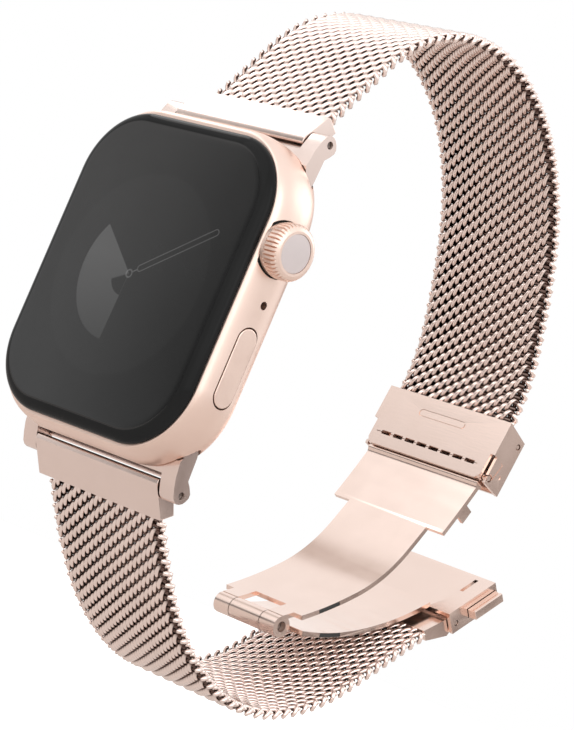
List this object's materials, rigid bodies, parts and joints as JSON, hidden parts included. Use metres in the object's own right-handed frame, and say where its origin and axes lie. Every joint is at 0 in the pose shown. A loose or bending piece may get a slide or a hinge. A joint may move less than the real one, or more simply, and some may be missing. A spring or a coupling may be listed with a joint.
{
  "type": "smartwatch",
  "caption": "Rounded rectangular smartwatch with a crown and side button on a fine mesh steel bracelet with a sliding clamp and fold-over clasp, shown open.",
  "frame": {"origin": "centre of the flat crystal on the case back, where the watch rests on the wrist", "axes": "+Z towards twelve o'clock along the case, -Y out of the display, +Y into the wrist, +X towards the crown side"},
  "size_m": [0.0409, 0.0779, 0.095],
  "materials": {
    "case_aluminium": "satin anodised, pale champagne rose",
    "black_glass": "polished black cover glass",
    "display": "dark display panel",
    "seal_rubber": "matt",
    "case_back": "smooth satin",
    "sensor_crystal": "polished dark crystal",
    "circuit_board": "solder mask",
    "coil_copper": "wound copper",
    "battery_foil": "foil pouch",
    "black_plastic": "moulded",
    "crown_cap_metal": "fine satin grey",
    "mesh_steel": "rose plated, polished wire",
    "clasp_steel": "rose plated, smooth satin",
    "lug_steel": "rose plated, fine satin",
    "spring_steel": "plain steel"
  },
  "bodies": {
    "case": {"case_shell": "case_aluminium", "front_glass": "black_glass", "display_panel": "display", "display_seal": "seal_rubber", "back_cover": "case_back", "sensor_crystal": "sensor_crystal", "sensor_board": "circuit_board", "charging_coil": "coil_copper", "logic_board": "circuit_board", "battery": "battery_foil", "haptic_motor": "spring_steel", "speaker_module": "black_plastic", "microphone": "spring_steel", "crown_bush": "spring_steel", "crown_switch": "black_plastic", "side_button_switch": "black_plastic", "upper_lug_adapter": "lug_steel", "lower_lug_adapter": "lug_steel", "upper_lug_pin": "spring_steel", "lower_lug_pin": "spring_steel"},
    "crown_stem": {"crown_stem": "spring_steel"},
    "crown": {"crown_wheel": "case_aluminium", "crown_cap": "crown_cap_metal"},
    "side_button": {"side_button": "case_aluminium"},
    "upper_release": {"upper_release_button": "case_aluminium"},
    "lower_release": {"lower_release_button": "case_aluminium"},
    "upper_band_1": {"upper_band_bar": "lug_steel", "upper_mesh_1": "mesh_steel"},
    "upper_band_2": {"upper_mesh_2": "mesh_steel"},
    "upper_band_3": {"upper_mesh_3": "mesh_steel", "upper_mesh_4": "mesh_steel"},
    "upper_band_4": {"upper_mesh_5": "mesh_steel", "upper_mesh_6": "mesh_steel", "upper_mesh_7": "mesh_steel", "upper_mesh_end": "mesh_steel", "clamp_frame": "clasp_steel", "clamp_flap_pin": "spring_steel", "blade_hinge_pin": "spring_steel"},
    "clamp_flap": {"clamp_flap": "clasp_steel"},
    "middle_blade": {"middle_blade": "clasp_steel", "knuckle_pin": "spring_steel"},
    "lower_blade": {"lower_blade": "clasp_steel", "end_box_cover": "clasp_steel", "pusher_spring": "spring_steel", "end_link_pin": "spring_steel"},
    "pusher_right": {"pusher_right": "clasp_steel"},
    "pusher_left": {"pusher_left": "clasp_steel"},
    "lower_band_1": {"lower_band_bar": "lug_steel", "lower_mesh_1": "mesh_steel"},
    "lower_band_2": {"lower_mesh_2": "mesh_steel"},
    "lower_band_3": {"lower_mesh_3": "mesh_steel", "lower_mesh_4": "mesh_steel"},
    "lower_band_4": {"lower_mesh_5": "mesh_steel", "end_link": "clasp_steel"}
  },
  "joints": [
    {"name": "crown_press", "type": "slide", "parent": "case", "child": "crown_stem", "axis": [-1, 0, 0], "range_m": [0, 0.0003], "stiffness_N_per_m": 2500, "springref_m": -0.0003},
    {"name": "crown_turn", "type": "hinge", "parent": "crown_stem", "child": "crown", "pos_m": [0.0205, -0.0062, 0.0085], "axis": [1, 0, 0], "continuous": true},
    {"name": "side_button_press", "type": "slide", "parent": "case", "child": "side_button", "axis": [-1, 0, 0], "range_m": [0, 0.0003], "stiffness_N_per_m": 2500, "springref_m": -0.0003},
    {"name": "upper_release_press", "type": "slide", "parent": "case", "child": "upper_release", "axis": [0, -1, 0], "range_m": [0, 0.00035], "stiffness_N_per_m": 1500, "springref_m": -0.0003},
    {"name": "lower_release_press", "type": "slide", "parent": "case", "child": "lower_release", "axis": [0, -1, 0], "range_m": [0, 0.00035], "stiffness_N_per_m": 1500, "springref_m": -0.0003},
    {"name": "upper_lug_hinge", "type": "hinge", "parent": "case", "child": "upper_band_1", "pos_m": [0, -0.0019, 0.0237], "axis": [1, 0, 0], "range_deg": [-5.32, 17.2]},
    {"name": "upper_band_flex_1", "type": "hinge", "parent": "upper_band_1", "child": "upper_band_2", "pos_m": [0, 0.00616, 0.03735], "axis": [1, 0, 0], "range_deg": [-19.22, 5.86]},
    {"name": "upper_band_flex_2", "type": "hinge", "parent": "upper_band_2", "child": "upper_band_3", "pos_m": [0, 0.01695, 0.04658], "axis": [1, 0, 0], "range_deg": [-18.77, 5.74]},
    {"name": "upper_band_flex_3", "type": "hinge", "parent": "upper_band_3", "child": "upper_band_4", "pos_m": [0, 0.04322, 0.03953], "axis": [1, 0, 0], "range_deg": [-4, 12.25]},
    {"name": "clamp_flap_hinge", "type": "hinge", "parent": "upper_band_4", "child": "clamp_flap", "pos_m": [0, 0.05798, 0.0023], "axis": [1, 0, 0], "range_deg": [0, 75]},
    {"name": "blade_hinge", "type": "hinge", "parent": "upper_band_4", "child": "middle_blade", "pos_m": [0, 0.05472, -0.00352], "axis": [1, 0, 0], "range_deg": [-7.4, 25]},
    {"name": "clasp_fold", "type": "hinge", "parent": "middle_blade", "child": "lower_blade", "pos_m": [0, 0.0335, -0.0337], "axis": [1, 0, 0], "range_deg": [-75, 20]},
    {"name": "right_pusher_press", "type": "slide", "parent": "lower_blade", "child": "pusher_right", "axis": [-1, 0, 0], "range_m": [0, 0.0008], "stiffness_N_per_m": 800, "springref_m": -0.0005},
    {"name": "left_pusher_press", "type": "slide", "parent": "lower_blade", "child": "pusher_left", "axis": [1, 0, 0], "range_m": [0, 0.0008], "stiffness_N_per_m": 800, "springref_m": -0.0005},
    {"name": "lower_lug_hinge", "type": "hinge", "parent": "case", "child": "lower_band_1", "pos_m": [0, -0.0019, -0.0237], "axis": [1, 0, 0], "range_deg": [-18.25, 5.6]},
    {"name": "lower_band_flex_1", "type": "hinge", "parent": "lower_band_1", "child": "lower_band_2", "pos_m": [0, 0.00931, -0.03718], "axis": [1, 0, 0], "range_deg": [-19.52, 5.94]},
    {"name": "lower_band_flex_2", "type": "hinge", "parent": "lower_band_2", "child": "lower_band_3", "pos_m": [0, 0.02099, -0.04435], "axis": [1, 0, 0], "range_deg": [-17.8, 5.48]},
    {"name": "lower_band_flex_3", "type": "hinge", "parent": "lower_band_3", "child": "lower_band_4", "pos_m": [0, 0.04613, -0.03703], "axis": [1, 0, 0], "range_deg": [-5.98, 19.68]}
  ],
  "couplings": [
    {"joint": "upper_lug_hinge", "follows": "clasp_fold", "ratio": -0.216},
    {"joint": "upper_band_flex_1", "follows": "clasp_fold", "ratio": 0.243},
    {"joint": "upper_band_flex_2", "follows": "clasp_fold", "ratio": 0.237},
    {"joint": "upper_band_flex_3", "follows": "clasp_fold", "ratio": -0.15},
    {"joint": "blade_hinge", "follows": "clasp_fold", "ratio": -0.32},
    {"joint": "lower_lug_hinge", "follows": "clasp_fold", "ratio": 0.23},
    {"joint": "lower_band_flex_1", "follows": "clasp_fold", "ratio": 0.247},
    {"joint": "lower_band_flex_2", "follows": "clasp_fold", "ratio": 0.224},
    {"joint": "lower_band_flex_3", "follows": "clasp_fold", "ratio": -0.249}
  ]
}
